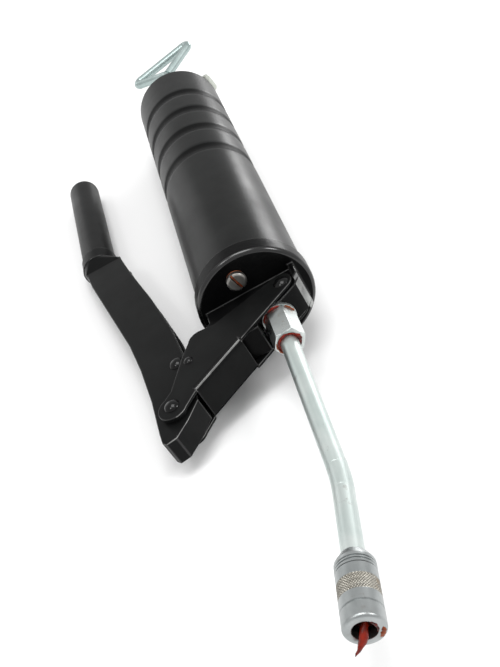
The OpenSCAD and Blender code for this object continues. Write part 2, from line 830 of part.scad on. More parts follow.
module rod_lock_plate() {
    reach = (lock_reach - lock_pivot_y) / cos(lock_tilt);
    color([0.76, 0.77, 0.74]) at_lock(lock_tilt) difference() {
        union() {
            translate([-lock_t, -4, -2.5]) cube([lock_t, 6, 5]);
            translate([-lock_t, 1.4, -lock_w / 2])
                cube([lock_t, reach - 1.4 - lock_round, lock_w]);
            translate([-lock_t, reach - 4, -lock_w / 2 + lock_round])
                cube([lock_t, 4, lock_w - 2 * lock_round]);
            for (side = [-1, 1])
                translate([-lock_t, reach - lock_round, side * (lock_w / 2 - lock_round)])
                rotate([0, 90, 0]) cylinder(r = lock_round, h = lock_t);
        }
        translate([0, -lock_pivot_y / cos(lock_tilt), 0]) bar(rod_r + 0.55, -10, 10);
    }
}

module lock_staple() {
    post_w = 2;
    bridge = 3.1;
    color([0.1, 0.1, 0.11]) rotate([handle_turn, 0, 0])
        translate([-barrel_len, lock_pivot_y - 1.3, 0]) {
            for (side = [-1, 1]) translate([-bridge, 0, side * 4.4 - post_w / 2])
                cube([bridge, 2.2, post_w]);
            translate([-bridge - 1.4, 0, -5.4]) cube([1.4, 2.2, 10.8]);
        }
}

module lock_spring() {
    color([0.6, 0.6, 0.62]) mirror([1, 0, 0])
        coil(6, 0.35, barrel_len + 0.1, barrel_len + 1.9, 2, 4.4);
}

place() head_casting();
place() barrel_tube();
place() barrel_end_cap();
place() barrel_gasket();
place() plunger_packing();
place() pump_plunger();
place() check_ball();
place() check_spring();
place() outlet_washer();
place() outlet_adapter();
place() pipe_gland();
place() delivery_pipe();
place() coupler_body();
place() coupler_sleeve();
place() coupler_jaws();
place() coupler_seal();
place() coupler_spring();
place() vent_screw();
place() vent_washer();
place() link_channel();
place() link_pivot_pin();
place() fulcrum_pin();
place() fulcrum_washers();
place() stop_rivets();
place() lever_channel();
place() grip_tube();
place() plunger_pin();
place() follower_rod();
place() follower_nut();
place() follower_front_plate();
place() follower_cup();
place() follower_back_plate();
place() follower_spring();
place() rod_lock_plate();
place() lock_staple();
place() lock_spring();
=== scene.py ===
"""Looks of the lever grease gun: finer meshes, materials, grease, light and camera around the CAD part."""

import json
import math

import bmesh
import bpy
from mathutils import Matrix, Vector, noise
from mathutils.bvhtree import BVHTree

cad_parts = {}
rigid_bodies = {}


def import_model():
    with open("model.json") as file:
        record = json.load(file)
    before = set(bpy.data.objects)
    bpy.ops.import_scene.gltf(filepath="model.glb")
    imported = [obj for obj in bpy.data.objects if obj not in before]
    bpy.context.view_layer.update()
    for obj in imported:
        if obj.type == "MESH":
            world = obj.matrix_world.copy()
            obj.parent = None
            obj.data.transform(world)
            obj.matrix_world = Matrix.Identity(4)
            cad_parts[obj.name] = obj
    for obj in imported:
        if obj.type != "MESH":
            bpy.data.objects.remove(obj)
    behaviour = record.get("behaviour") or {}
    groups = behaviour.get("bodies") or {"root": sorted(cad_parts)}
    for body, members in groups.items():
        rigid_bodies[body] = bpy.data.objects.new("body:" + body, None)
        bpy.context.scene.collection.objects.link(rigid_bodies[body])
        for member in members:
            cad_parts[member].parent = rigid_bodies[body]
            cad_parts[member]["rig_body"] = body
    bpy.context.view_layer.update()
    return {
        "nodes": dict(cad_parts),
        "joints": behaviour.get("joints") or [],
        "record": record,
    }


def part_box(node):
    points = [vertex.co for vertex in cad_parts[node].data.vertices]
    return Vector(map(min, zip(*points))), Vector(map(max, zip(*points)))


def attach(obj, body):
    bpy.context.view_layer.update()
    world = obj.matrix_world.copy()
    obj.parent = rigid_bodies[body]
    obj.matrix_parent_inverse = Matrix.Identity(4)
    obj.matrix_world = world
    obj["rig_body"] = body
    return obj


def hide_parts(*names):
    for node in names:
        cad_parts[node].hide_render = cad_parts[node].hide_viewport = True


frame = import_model()
record = frame["record"]
joints = {j["name"]: j for j in frame["joints"]}
mounts = {m["name"]: m for m in record["mounts"]}

MM = 0.001
TAU = 2 * math.pi

# ---- axes of the gun and of its coupler, in the shared frame ----


def axes_matrix(x_axis, z_hint, origin):
    """A frame whose X is x_axis and whose Z is as near z_hint as it can be."""
    x = Vector(x_axis).normalized()
    y = Vector(z_hint).cross(x).normalized()
    z = x.cross(y)
    m = Matrix((x, y, z)).transposed().to_4x4()
    m.translation = Vector(origin)
    return m


barrel_low, barrel_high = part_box("barrel_tube")
barrel_mid = (barrel_low + barrel_high) / 2
head_face_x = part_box("vent_washer")[0].x

# The gun's X runs along the barrel to the nozzle, from the head's face. Its Z is the lever's hinge direction.
GUN = axes_matrix((1, 0, 0), joints["lever_fulcrum"]["axis"], (head_face_x, barrel_mid.y, barrel_mid.z))
LOCAL = GUN.inverted()


def gun_mm(point):
    """A point of the shared frame, in the gun's axes, in millimetres."""
    return (LOCAL @ Vector(point)) / MM


def local_box(node):
    """Lowest and highest corner of a node in the gun's axes, in millimetres."""
    points = [gun_mm(v.co) for v in frame["nodes"][node].data.vertices]
    low = Vector([min(p[i] for p in points) for i in range(3)])
    high = Vector([max(p[i] for p in points) for i in range(3)])
    return low, high


def at_gun(x, y, z=0.0):
    """The gun's axes, moved to a point that is given in millimetres."""
    return GUN @ Matrix.Translation(Vector((x, y, z)) * MM)


# The coupler's X runs from its rear face to its mouth. The mount stands half its own depth inside the mouth.
COUPLER_LEN = 31.0
MOUTH_HALF = 1.6
mouth_mount = mounts["coupler_mouth"]
coupler_axis = Vector(mouth_mount["axis"]).normalized()
coupler_rear = Vector(mouth_mount["pos_m"]) - coupler_axis * (COUPLER_LEN - MOUTH_HALF) * MM
COUPLER = axes_matrix(coupler_axis, (0, 0, 1), coupler_rear)

# ---- materials ----

NOISE_LOW, NOISE_HIGH = 0.3, 0.7


class Shader:
    """Builds one Principled material out of noise-driven colour, roughness and bump."""

    def __init__(self, name, color, roughness, metallic=0.0, **sockets):
        self.mat = bpy.data.materials.new(name)
        self.mat.use_nodes = True
        self.nodes = self.mat.node_tree.nodes
        self.links = self.mat.node_tree.links
        self.bsdf = self.nodes["Principled BSDF"]
        self.bsdf.inputs["Base Color"].default_value = (*color, 1)
        self.bsdf.inputs["Roughness"].default_value = roughness
        self.bsdf.inputs["Metallic"].default_value = metallic
        for key, value in sockets.items():
            self.bsdf.inputs[key.replace("_", " ")].default_value = value
        self.coords = self.nodes.new("ShaderNodeTexCoord")
        self.height = None

    def noise(self, scale, detail=4.0, roughness=0.55, stretch=None, distortion=0.0):
        """Noise over the object's own coordinates, which stretch scales along each axis."""
        node = self.nodes.new("ShaderNodeTexNoise")
        node.inputs["Scale"].default_value = scale
        node.inputs["Detail"].default_value = detail
        node.inputs["Roughness"].default_value = roughness
        node.inputs["Distortion"].default_value = distortion
        source = self.coords.outputs["Object"]
        if stretch:
            mapping = self.nodes.new("ShaderNodeMapping")
            mapping.inputs["Scale"].default_value = stretch
            self.links.new(source, mapping.inputs["Vector"])
            source = mapping.outputs["Vector"]
        self.links.new(source, node.inputs["Vector"])
        return node.outputs["Fac"]

    def ramp(self, source, stops):
        """Colour that goes through stops of (place, colour) as source rises."""
        node = self.nodes.new("ShaderNodeValToRGB")
        ramp = node.color_ramp
        while len(ramp.elements) < len(stops):
            ramp.elements.new(0.5)
        for element, (place, color) in zip(ramp.elements, stops):
            element.position = place
            element.color = (*color, 1)
        self.links.new(source, node.inputs["Fac"])
        return node.outputs["Color"]

    def span(self, source, low, high):
        """A value from low to high, over the middle range that noise mostly takes."""
        node = self.nodes.new("ShaderNodeMapRange")
        node.inputs["From Min"].default_value = NOISE_LOW
        node.inputs["From Max"].default_value = NOISE_HIGH
        node.inputs["To Min"].default_value = low
        node.inputs["To Max"].default_value = high
        self.links.new(source, node.inputs["Value"])
        return node.outputs["Result"]

    def mix(self, factor, below, above):
        """The colour above laid over the source below, as much as factor says."""
        node = self.nodes.new("ShaderNodeMix")
        node.data_type = "RGBA"
        factor_in, below_in, above_in = node.inputs[0], node.inputs[6], node.inputs[7]
        self.links.new(factor, factor_in)
        self.links.new(below, below_in)
        above_in.default_value = (*above, 1)
        return node.outputs[2]

    def color(self, source):
        """Lets source drive the base colour."""
        self.links.new(source, self.bsdf.inputs["Base Color"])

    def rough(self, source):
        """Lets source drive the roughness."""
        self.links.new(source, self.bsdf.inputs["Roughness"])

    def bump(self, source, strength, distance):
        """Adds a bump, on top of those already there, distance metres deep."""
        node = self.nodes.new("ShaderNodeBump")
        node.inputs["Strength"].default_value = strength
        node.inputs["Distance"].default_value = distance
        self.links.new(source, node.inputs["Height"])
        if self.height:
            self.links.new(self.height, node.inputs["Normal"])
        self.height = node.outputs["Normal"]
        self.links.new(self.height, self.bsdf.inputs["Normal"])


def black_paint(name, dark, light, low_rough, high_rough, peel=0.18, cast=0.0, gloss=0.4):
    """Black enamel: faint mottling, haze in its gloss, orange peel, and a cast surface where asked."""
    s = Shader(name, dark, low_rough, Specular_IOR_Level=gloss)
    haze = s.noise(26, 5, 0.6)
    s.color(s.ramp(s.noise(70, 4, 0.6), [(0.35, dark), (0.7, light)]))
    s.rough(s.span(haze, low_rough, high_rough))
    s.bump(s.noise(900, 2, 0.5), peel, 0.00012)
    if cast:
        s.bump(s.noise(330, 3, 0.6), cast, 0.0005)
    return s.mat


def zinc(name, base, tint, low_rough, high_rough, streak=(1, 1, 1), grime=None):
    """Bright zinc plating: cloudy tint, fine drawing marks along streak, dull spots."""
    s = Shader(name, base, low_rough, 1.0)
    clouds = s.ramp(s.noise(60, 5, 0.6, distortion=0.4), [(0.34, base), (0.66, tint)])
    if grime:
        spots = s.ramp(s.noise(170, 5, 0.7), [(0.6, (0, 0, 0)), (0.74, (1, 1, 1))])
        clouds = s.mix(spots, clouds, grime)
    s.color(clouds)
    s.rough(s.span(s.noise(130, 5, 0.65, stretch=streak), low_rough, high_rough))
    s.bump(s.noise(700, 3, 0.6, stretch=streak), 0.12, 0.0001)
    return s.mat


BLACK = (0.0018, 0.0018, 0.0019)
BLACK_HI = (0.0035, 0.0036, 0.0037)
EVEN = (1, 1, 1)
DRAWN = (0.08, 1, 1)

# Paints: dark and light colour, lowest and highest roughness, orange peel, cast surface.
M = {
    "barrel": black_paint(
        "paint_barrel", (0.007, 0.0074, 0.0073), (0.0105, 0.011, 0.0108), 0.28, 0.40, gloss=0.09
    ),
    # Darker black for the rolled grooves: painted shade of their recesses.
    "groove": black_paint(
        "groove_painted_shade", (0.0028, 0.0029, 0.0029), (0.0045, 0.0047, 0.0047), 0.36, 0.5, gloss=0.05
    ),
    "cast": black_paint("paint_cast", BLACK, BLACK_HI, 0.24, 0.38, 0.15, 0.18, 0.05),
    "sheet": black_paint(
        "paint_sheet", (0.004, 0.0042, 0.0042), (0.0065, 0.0068, 0.0068), 0.30, 0.44, gloss=0.07
    ),
    # Lighter, glossier black for rounded edges: a painted highlight along them.
    "edge": black_paint(
        "edge_painted_sheen", (0.008, 0.008, 0.008), (0.02, 0.02, 0.0198), 0.16, 0.28, 0.1, gloss=0.3
    ),
    # Light grey for the link's front edge and the lever's nose edge: a painted highlight.
    "bright_edge": black_paint(
        "edge_painted_highlight", (0.04, 0.04, 0.04), (0.26, 0.26, 0.25), 0.2, 0.3, 0.1, gloss=0.6
    ),
    "shoulder": black_paint("paint_shoulder", BLACK, BLACK_HI, 0.16, 0.24, 0.1, gloss=0.6),
    "rivet": black_paint("paint_rivet", BLACK, BLACK_HI, 0.12, 0.22, 0.1, gloss=0.25),
    "grip": black_paint(
        "paint_grip", (0.003, 0.0031, 0.0031), (0.005, 0.0052, 0.0052), 0.34, 0.5, 0.3, gloss=0.15
    ),
    "seam": black_paint("seam_shadow", (0.0006, 0.0006, 0.0006), (0.001, 0.001, 0.001), 0.6, 0.8, gloss=0.0),
}

# Zincs: base and tint, lowest and highest roughness, stretch of the drawing marks, grime.
M.update({
    # Bright zinc for the end of the head's ear: a painted reflection.
    "ear_glint": zinc("ear_painted_reflection", (0.36, 0.37, 0.36), (0.14, 0.14, 0.14), 0.2, 0.36, EVEN, (0.02, 0.02, 0.02)),
    "screw": zinc(
        "zinc_screw", (0.30, 0.295, 0.28), (0.19, 0.18, 0.165), 0.3, 0.5, EVEN, (0.07, 0.05, 0.04)
    ),
    "pipe": zinc("zinc_pipe", (0.62, 0.67, 0.65), (0.53, 0.60, 0.58), 0.36, 0.5, DRAWN, (0.36, 0.36, 0.34)),
    "fitting": zinc(
        "zinc_fitting", (0.58, 0.61, 0.60), (0.48, 0.51, 0.50), 0.22, 0.4, EVEN, (0.4, 0.36, 0.3)
    ),
    "coupler": zinc(
        "zinc_coupler", (0.40, 0.42, 0.42), (0.29, 0.31, 0.31), 0.28, 0.42, (0.3, 1, 1), (0.26, 0.25, 0.23)
    ),
    "knurl": zinc(
        "zinc_knurl", (0.34, 0.33, 0.30), (0.26, 0.245, 0.21), 0.36, 0.5, EVEN, (0.25, 0.19, 0.13)
    ),
    "rod": zinc("zinc_rod", (0.46, 0.54, 0.53), (0.36, 0.44, 0.43), 0.3, 0.44, DRAWN),
    "plate": zinc("zinc_plate", (0.70, 0.73, 0.68), (0.60, 0.62, 0.55), 0.3, 0.45),
    "steel": zinc("bright_steel", (0.56, 0.57, 0.58), (0.48, 0.49, 0.5), 0.25, 0.4),
    "dark_steel": zinc("hard_steel", (0.30, 0.30, 0.31), (0.2, 0.19, 0.18), 0.3, 0.5),
})


def simple_mottled(name, dark, light, roughness, bump, **sockets):
    """Rubber, fibre or grease: two colours in small patches, uneven gloss and a fine bump."""
    s = Shader(name, dark, roughness, **sockets)
    s.color(s.ramp(s.noise(220, 4, 0.6), [(0.35, dark), (0.68, light)]))
    s.rough(s.span(s.noise(150, 3), roughness * 0.8, min(1.0, roughness * 1.25)))
    s.bump(s.noise(500, 3, 0.6), bump, 0.0003)
    return s.mat


M["rubber"] = simple_mottled("black_rubber", (0.01, 0.01, 0.01), (0.02, 0.02, 0.02), 0.65, 0.3)
M["fibre"] = simple_mottled("red_fibre", (0.20, 0.055, 0.02), (0.34, 0.10, 0.04), 0.5, 0.3)
M["grease"] = simple_mottled(
    "red_grease", (0.035, 0.0015, 0.001), (0.24, 0.014, 0.004), 0.22, 0.5, Specular_IOR_Level=0.25,
)
M["grease_dark"] = simple_mottled(
    "dark_grease", (0.006, 0.001, 0.001), (0.04, 0.004, 0.002), 0.3, 0.5, Specular_IOR_Level=0.1,
)
M["grease_thin"] = simple_mottled(
    "thin_grease", (0.11, 0.014, 0.005), (0.34, 0.09, 0.03), 0.32, 0.4, Specular_IOR_Level=0.2,
)

# ---- mesh helpers ----


def set_sharp(bm, angle):
    """Smooth shading, with edges sharper than angle kept sharp."""
    for face in bm.faces:
        face.smooth = True
    for edge in bm.edges:
        edge.smooth = len(edge.link_faces) == 2 and edge.calc_face_angle(0.0) < angle


def make_object(name, bm, material, sharp=40.0):
    """A smooth-shaded object made of bm, whose edges over sharp degrees stay sharp."""
    bmesh.ops.recalc_face_normals(bm, faces=bm.faces)
    set_sharp(bm, math.radians(sharp))
    mesh = bpy.data.meshes.new(name)
    bm.to_mesh(mesh)
    bm.free()
    mesh.materials.append(material)
    piece = bpy.data.objects.new(name, mesh)
    bpy.context.scene.collection.objects.link(piece)
    return piece


def place_piece(piece, body, slot, *replaced):
    """States the piece's body and hides the nodes that it stands for. slot is not used."""
    if replaced:
        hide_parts(*replaced)
    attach(piece, body)
    return piece


def refined(node, name, material, slot, width, segments=2, crease=25.0, sharp=32.0, flat=0.8, edge=None):
    """A copy of a CAD node with clean faces, which stands for it. Its edges over crease degrees are rounded
    width millimetres wide, and take the material edge where one is given."""
    source = frame["nodes"][node]
    bm = bmesh.new()
    bm.from_mesh(source.data)
    bmesh.ops.remove_doubles(bm, verts=bm.verts, dist=2e-6)
    bmesh.ops.dissolve_limit(
        bm, angle_limit=math.radians(flat), verts=bm.verts, edges=bm.edges, use_dissolve_boundaries=False
    )
    if width:
        skin = BVHTree.FromBMesh(bm)
        limit = math.radians(crease)
        edges = [e for e in bm.edges if len(e.link_faces) == 2 and e.calc_face_angle(0.0) > limit]
        rounded = bmesh.ops.bevel(
            bm, geom=edges, offset=width * MM, offset_type="OFFSET", segments=segments,
            profile=0.5, affect="EDGES", clamp_overlap=False,
        )
        if edge:
            for face in rounded["faces"]:
                face.material_index = 1
        # A corner that the rounding threw off the surface goes back onto it.
        for vert in bm.verts:
            spot, _, _, distance = skin.find_nearest(vert.co)
            if distance > 0.5 * width * MM:
                vert.co = spot
    bmesh.ops.triangulate(bm, faces=[f for f in bm.faces if len(f.verts) > 4])
    piece = make_object(name, bm, material, sharp)
    if edge:
        piece.data.materials.append(edge)
    even = piece.modifiers.new("even_faces", "WEIGHTED_NORMAL")
    even.keep_sharp = True
    return place_piece(piece, source["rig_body"], slot, node)


def lathe(name, profile, matrix, material, segments=128, sharp=40.0, closed=True, shape=None):
    """Turns (x, r) points in millimetres about the X axis of matrix. shape(x, angle, r) adds to r."""
    bm = bmesh.new()
    rows = []
    for x, r in profile:
        if r < 1e-6:
            rows.append([bm.verts.new((x * MM, 0, 0))])
            continue
        row = []
        for k in range(segments):
            angle = TAU * k / segments
            reach = (r + (shape(x, angle, r) if shape else 0.0)) * MM
            row.append(bm.verts.new((x * MM, reach * math.cos(angle), reach * math.sin(angle))))
        rows.append(row)
    pairs = list(zip(rows, rows[1:]))
    if closed and len(rows[0]) > 1 and len(rows[-1]) > 1:
        pairs.append((rows[-1], rows[0]))
    for first, second in pairs:
        for k in range(segments):
            n = (k + 1) % segments
            around = [first[k % len(first)], first[n % len(first)]]
            around += [second[n % len(second)], second[k % len(second)]]
            corners = list(dict.fromkeys(around))
            if len(corners) > 2:
                bm.faces.new(corners)
    bm.transform(matrix)
    return make_object(name, bm, material, sharp)


def arc(cx, cr, radius, start, end, steps=6):
    """Points of an arc in the (x, r) plane, in degrees."""
    turns = [math.radians(start + (end - start) * i / steps) for i in range(steps + 1)]
    return [(cx + radius * math.cos(a), cr + radius * math.sin(a)) for a in turns]


# ---- barrel, cap and gasket ----

tube_low, tube_high = local_box("barrel_tube")
TUBE_REAR, TUBE_FRONT = tube_low.x, tube_high.x
BARREL_R = round(tube_high.z - tube_low.z) / 2
WALL = 1.2
REAR = local_box("barrel_end_cap")[0].x
SKIRT_REAR = local_box("head_casting")[0].x
FIRST_GROOVE, GROOVE_STEP = 40.6, 29.3
GROOVES = [REAR + FIRST_GROOVE + GROOVE_STEP * k for k in range(4)]
GROOVE_HALF = 6.5
GROOVE_DEPTH = 0.8
GROOVE_SHADE_HALF = 4.6
SEAM_BEHIND, SEAM_UNDER = 1.3, 0.5
BARREL_STEPS = 240


def barrel_radius(x):
    """The barrel's outer radius at x, with its rolled grooves."""
    dip = 0.0
    for centre in GROOVES:
        d = abs(x - centre)
        if d < GROOVE_HALF:
            dip = GROOVE_DEPTH * (1 + math.cos(math.pi * d / GROOVE_HALF)) / 2
    return BARREL_R - dip


along_barrel = [TUBE_REAR + (TUBE_FRONT - TUBE_REAR) * i / BARREL_STEPS for i in range(BARREL_STEPS + 1)]
barrel_profile = [(x, barrel_radius(x)) for x in along_barrel]
barrel_profile += [(TUBE_FRONT, BARREL_R - WALL), (TUBE_REAR, BARREL_R - WALL)]
shell = lathe("barrel_shell", barrel_profile, GUN, M["barrel"], 160)
shell.data.materials.append(M["groove"])
shell.data.materials.append(M["seam"])

# The grooves get a darker paint as painted shade in their recesses, and the narrow seam where the barrel goes
# under the head's skirt gets a near-black painted shadow.
for poly in shell.data.polygons:
    along = gun_mm(poly.center).x
    if any(abs(along - centre) < GROOVE_SHADE_HALF for centre in GROOVES):
        poly.material_index = 1
    elif SKIRT_REAR - SEAM_BEHIND < along < SKIRT_REAR + SEAM_UNDER:
        poly.material_index = 2
place_piece(shell, "gun", "black_paint", "barrel_tube")

# The cap: rounded rim, a step down to its sunk face, a low boss round the rod's hole, and a spigot inside.
CAP_ROUND = 1.1
CAP_STEP_R = 22.0
CAP_SUNK = 0.8
BOSS_R = 9.0
ROD_HOLE_R = 3.45
SPIGOT_LEN = 8.0
cap_spigot_r = BARREL_R - WALL - 0.05
cap_inner_r = cap_spigot_r - WALL
cap_profile = [(TUBE_REAR, BARREL_R - 0.02)]
cap_profile += arc(REAR + CAP_ROUND, BARREL_R - CAP_ROUND, CAP_ROUND, 90, 180, 8)
cap_profile += [(REAR, CAP_STEP_R)] + arc(REAR, CAP_STEP_R - CAP_SUNK, CAP_SUNK, 90, 20, 4)
cap_profile += [(REAR + CAP_SUNK, CAP_STEP_R - 1.4), (REAR + CAP_SUNK, BOSS_R)]
cap_profile += [(REAR + 0.1, BOSS_R - CAP_SUNK), (REAR + 0.02, ROD_HOLE_R), (TUBE_REAR, ROD_HOLE_R)]
cap_profile += [(TUBE_REAR, cap_inner_r), (TUBE_REAR + SPIGOT_LEN, cap_inner_r)]
cap_profile += [(TUBE_REAR + SPIGOT_LEN, cap_spigot_r), (TUBE_REAR, cap_spigot_r)]
place_piece(lathe("end_cap", cap_profile, GUN, M["barrel"], 128), "gun", "black_paint", "barrel_end_cap")

# ---- sheet and cast pieces, from their CAD shapes ----


def repaint(piece, material, wanted):
    """Gives material to the faces for which wanted(normal, centre, kind) holds, in the gun's axes. The kind
    is 1 on a rounded edge and 0 elsewhere."""
    index = len(piece.data.materials)
    piece.data.materials.append(material)
    turned = LOCAL.to_3x3()
    for poly in piece.data.polygons:
        if wanted(turned @ poly.normal, gun_mm(poly.center), poly.material_index):
            poly.material_index = index


head = refined("head_casting", "head", M["cast"], "black_paint", 0.5, 3, crease=22, edge=M["edge"])
link = refined("link_channel", "link_plate", M["sheet"], "black_paint", 0.35, 2, edge=M["edge"])
lever = refined(
    "lever_channel", "lever_shell", M["sheet"], "black_paint", 0.5, 3, crease=20, sharp=28, edge=M["edge"]
)
EAR_Y, EAR_X = 20.5, 5.0
SHOULDER_R = 26.0
LEVER_NOSE_X = 30.0


def ear_end(normal, at, kind):
    """The slanted end of the head's ear."""
    return min(normal.x, normal.y) > 0.35 and abs(normal.z) < 0.2 and at.y > EAR_Y and at.x > EAR_X


def head_shoulder(normal, at, kind):
    """The rounded rim of the head's face."""
    return 0.15 < normal.x < 0.97 and -3 < at.x < 0.2 and at.yz.length > SHOULDER_R


def link_front_edge(normal, at, kind):
    """The bend along the link's front, with more of it where an edge is rounded."""
    return min(normal.x, normal.y) > 0.1 and 0.64 - 0.3 * kind < normal.z < 0.82


def lever_nose_edge(normal, at, kind):
    """The rounded upper edge of the lever's nose."""
    return kind == 1 and normal.z > 0.3 and normal.x > 0.25 and at.x > LEVER_NOSE_X


# The end of the ear gets bright zinc, a painted reflection of the floor. The head's shoulder gets a glossier
# paint, and the link's front edge and the lever's nose edge get light grey paint as painted highlights.
repaint(head, M["ear_glint"], ear_end)
repaint(head, M["shoulder"], head_shoulder)
repaint(link, M["bright_edge"], link_front_edge)
repaint(lever, M["bright_edge"], lever_nose_edge)

refined("lock_staple", "staple", M["sheet"], "black_paint", 0.2)
refined("rod_lock_plate", "lock_strip", M["plate"], "zinc_plate", 0.25)
refined("outlet_adapter", "adapter_hex", M["fitting"], "zinc_plate", 0.15)
refined("pipe_gland", "gland_ring", M["fitting"], "zinc_plate", 0.15)
refined("vent_screw", "vent_screw_head", M["screw"], "zinc_plate", 0.15)
refined("coupler_jaws", "jaw_set", M["dark_steel"], "hard_steel", 0.12)
refined("pump_plunger", "plunger_rod", M["steel"], "bright_steel", 0.2)
refined("stop_rivets", "stop_rivet_pair", M["rivet"], "black_paint", 0.0)
refined("follower_nut", "rod_end_nut", M["steel"], "bright_steel", 0.15)
refined("delivery_pipe", "pipe", M["pipe"], "zinc_plate", 0.2, crease=50)
refined("follower_rod", "pull_rod", M["rod"], "zinc_plate", 0.0, sharp=50)
refined("grip_tube", "grip", M["grip"], "black_paint", 0.0, sharp=50)

# Nodes whose shape is right get only a better material.
KEPT = {
    "steel": ["check_ball", "check_spring", "coupler_spring", "fulcrum_washers", "follower_front_plate",
              "follower_back_plate", "follower_spring", "lock_spring"],
    "rubber": ["barrel_gasket", "plunger_packing", "coupler_seal", "follower_cup"],
    "fibre": ["vent_washer"],
    "fitting": ["outlet_washer"],
}
for kind, names in KEPT.items():
    for node in names:
        kept = frame["nodes"][node]
        kept.data.materials.clear()
        kept.data.materials.append(M[kind])

# ---- rivets with domed heads ----

DOME_STEPS = 10


def rivet(name, node, head_r, rise, shank_r):
    """A pin along the gun's Z with a turned dome and a small foot at each end."""
    low, high = local_box(node)
    x, y = (low.x + high.x) / 2, (low.y + high.y) / 2
    base = high.z - rise
    ball = (head_r * head_r + rise * rise) / (2 * rise)
    top = base + rise
    tilts = [i / DOME_STEPS * math.asin(head_r / ball) for i in range(1, DOME_STEPS + 1)]
    dome = [(top - ball * (1 - math.cos(tilt)), ball * math.sin(tilt)) for tilt in tilts]
    foot = [(base + 0.12, head_r + 0.02), (base, head_r - 0.1), (base, shank_r)]
    end = [(top, 0.0)] + dome + foot
    profile = end + [(-along, r) for along, r in reversed(end)]
    turn = Matrix.Rotation(math.radians(-90), 4, "Y")
    piece = lathe(name, profile, at_gun(x, y) @ turn, M["rivet"], 48, closed=False)
    return place_piece(piece, frame["nodes"][node]["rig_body"], "black_paint", node)


rivet("pivot_rivet", "link_pivot_pin", 3.85, 1.8, 2.9)
rivet("fulcrum_rivet", "fulcrum_pin", 3.85, 2.0, 2.9)
rivet("plunger_rivet", "plunger_pin", 3.8, 2.0, 2.5)

# ---- coupler ----

COUPLER_R = 7.4
KNURL_FROM, KNURL_TO = 13.1, 19.6
KNURL_STEPS = 44
KNURL_DEPTH = 0.26
KNURL_LEAD = 0.128
KNURL_LINES = 44
SLEEVE_FROM = 8.3
SPIGOT_R = COUPLER_R - 1.4
SPIGOT_END = 14.0
BODY_END = 8.0
RING_R = COUPLER_R - 0.4
RINGS = (5.3, 6.5)
RING_W = 0.65
PIPE_R = 4.35
CHAMBER_R = 3.6
CHAMBER_FROM = 9.5
PORT_R = 1.6
MOUTH_R = mouth_mount["dims"]["r_mm"]
NIPPLE_STOP = COUPLER_LEN - 2 * MOUTH_HALF


def knurl(x, angle, r):
    """Depth of a diamond knurl, cut only in its band of the sleeve's outside."""
    if r < COUPLER_R - 0.05 or not KNURL_FROM < x < KNURL_TO:
        return 0.0
    fade = min(1.0, min(x - KNURL_FROM, KNURL_TO - x) / 0.35)
    pitch = TAU / KNURL_LINES
    turned = x * KNURL_LEAD
    right_hand = abs(((angle + turned) / pitch) % 1 - 0.5) * 2
    left_hand = abs(((angle - turned) / pitch) % 1 - 0.5) * 2
    groove = max(1 - 2.2 * min(right_hand, left_hand), 0.0)
    return -KNURL_DEPTH * groove * fade


# The body's outline: rear rim, taper, two ring grooves, spigot, then back along its chamber, port and socket.
body_profile = [(0, PIPE_R), (0, 5.0)] + arc(0.2, 5.0, 0.2, 180, 90, 3)
body_profile += [(3.8, COUPLER_R - 0.06), (4.1, COUPLER_R)]
for ring_x in RINGS:
    body_profile += [(ring_x, COUPLER_R), (ring_x + 0.15, RING_R)]
    body_profile += [(ring_x + RING_W - 0.15, RING_R), (ring_x + RING_W, COUPLER_R)]
body_profile += [(BODY_END - 0.2, COUPLER_R), (BODY_END, COUPLER_R - 0.2)]
body_profile += [(BODY_END, SPIGOT_R), (SPIGOT_END, SPIGOT_R), (SPIGOT_END, CHAMBER_R)]
body_profile += [(CHAMBER_FROM, CHAMBER_R), (CHAMBER_FROM, PORT_R), (BODY_END + 0.1, PORT_R)]
body_profile += [(BODY_END + 0.1, PIPE_R)]
coupler_rear_piece = lathe("coupler_rear", body_profile, COUPLER, M["coupler"], 96, sharp=30)
place_piece(coupler_rear_piece, "gun", "zinc_plate", "coupler_body")

groove_x = COUPLER_LEN - 6.7
knurl_length = KNURL_TO - KNURL_FROM
sleeve_profile = [(SLEEVE_FROM, SPIGOT_R + 0.05), (SLEEVE_FROM, 7.2), (SLEEVE_FROM + 0.2, COUPLER_R)]
sleeve_profile += [(KNURL_FROM - 0.3, COUPLER_R)]
sleeve_profile += [(KNURL_FROM + knurl_length * i / KNURL_STEPS, COUPLER_R) for i in range(KNURL_STEPS + 1)]
sleeve_profile += [(KNURL_TO + 0.3, COUPLER_R), (groove_x - 0.45, COUPLER_R), (groove_x - 0.2, RING_R)]
sleeve_profile += [(groove_x + 0.2, RING_R), (groove_x + 0.45, COUPLER_R)]
sleeve_profile += arc(COUPLER_LEN - 1.3, COUPLER_R - 1.3, 1.3, 90, 0, 8)
sleeve_profile += arc(COUPLER_LEN - 0.3, MOUTH_R + 0.3, 0.3, 0, -90, 3)
sleeve_profile += [(NIPPLE_STOP, MOUTH_R), (NIPPLE_STOP - 1.4, SPIGOT_R + 0.05)]
sleeve = lathe("coupler_sleeve_knurled", sleeve_profile, COUPLER, M["coupler"], 352, sharp=38, shape=knurl)
sleeve.data.materials.append(M["knurl"])
to_coupler = COUPLER.inverted()
for poly in sleeve.data.polygons:
    spot = to_coupler @ poly.center / MM
    if KNURL_FROM - 0.1 < spot.x < KNURL_TO + 0.1 and spot.yz.length > COUPLER_R - 0.6:
        poly.material_index = 1
place_piece(sleeve, "gun", "zinc_plate", "coupler_sleeve")

# ---- grease ----

ASKEW = Vector((0.31, 0.87, 0.38))
LUMPS_ALONG, LUMPS_ROUND = 0.9, 0.7
BEAD_STEP = 6.0


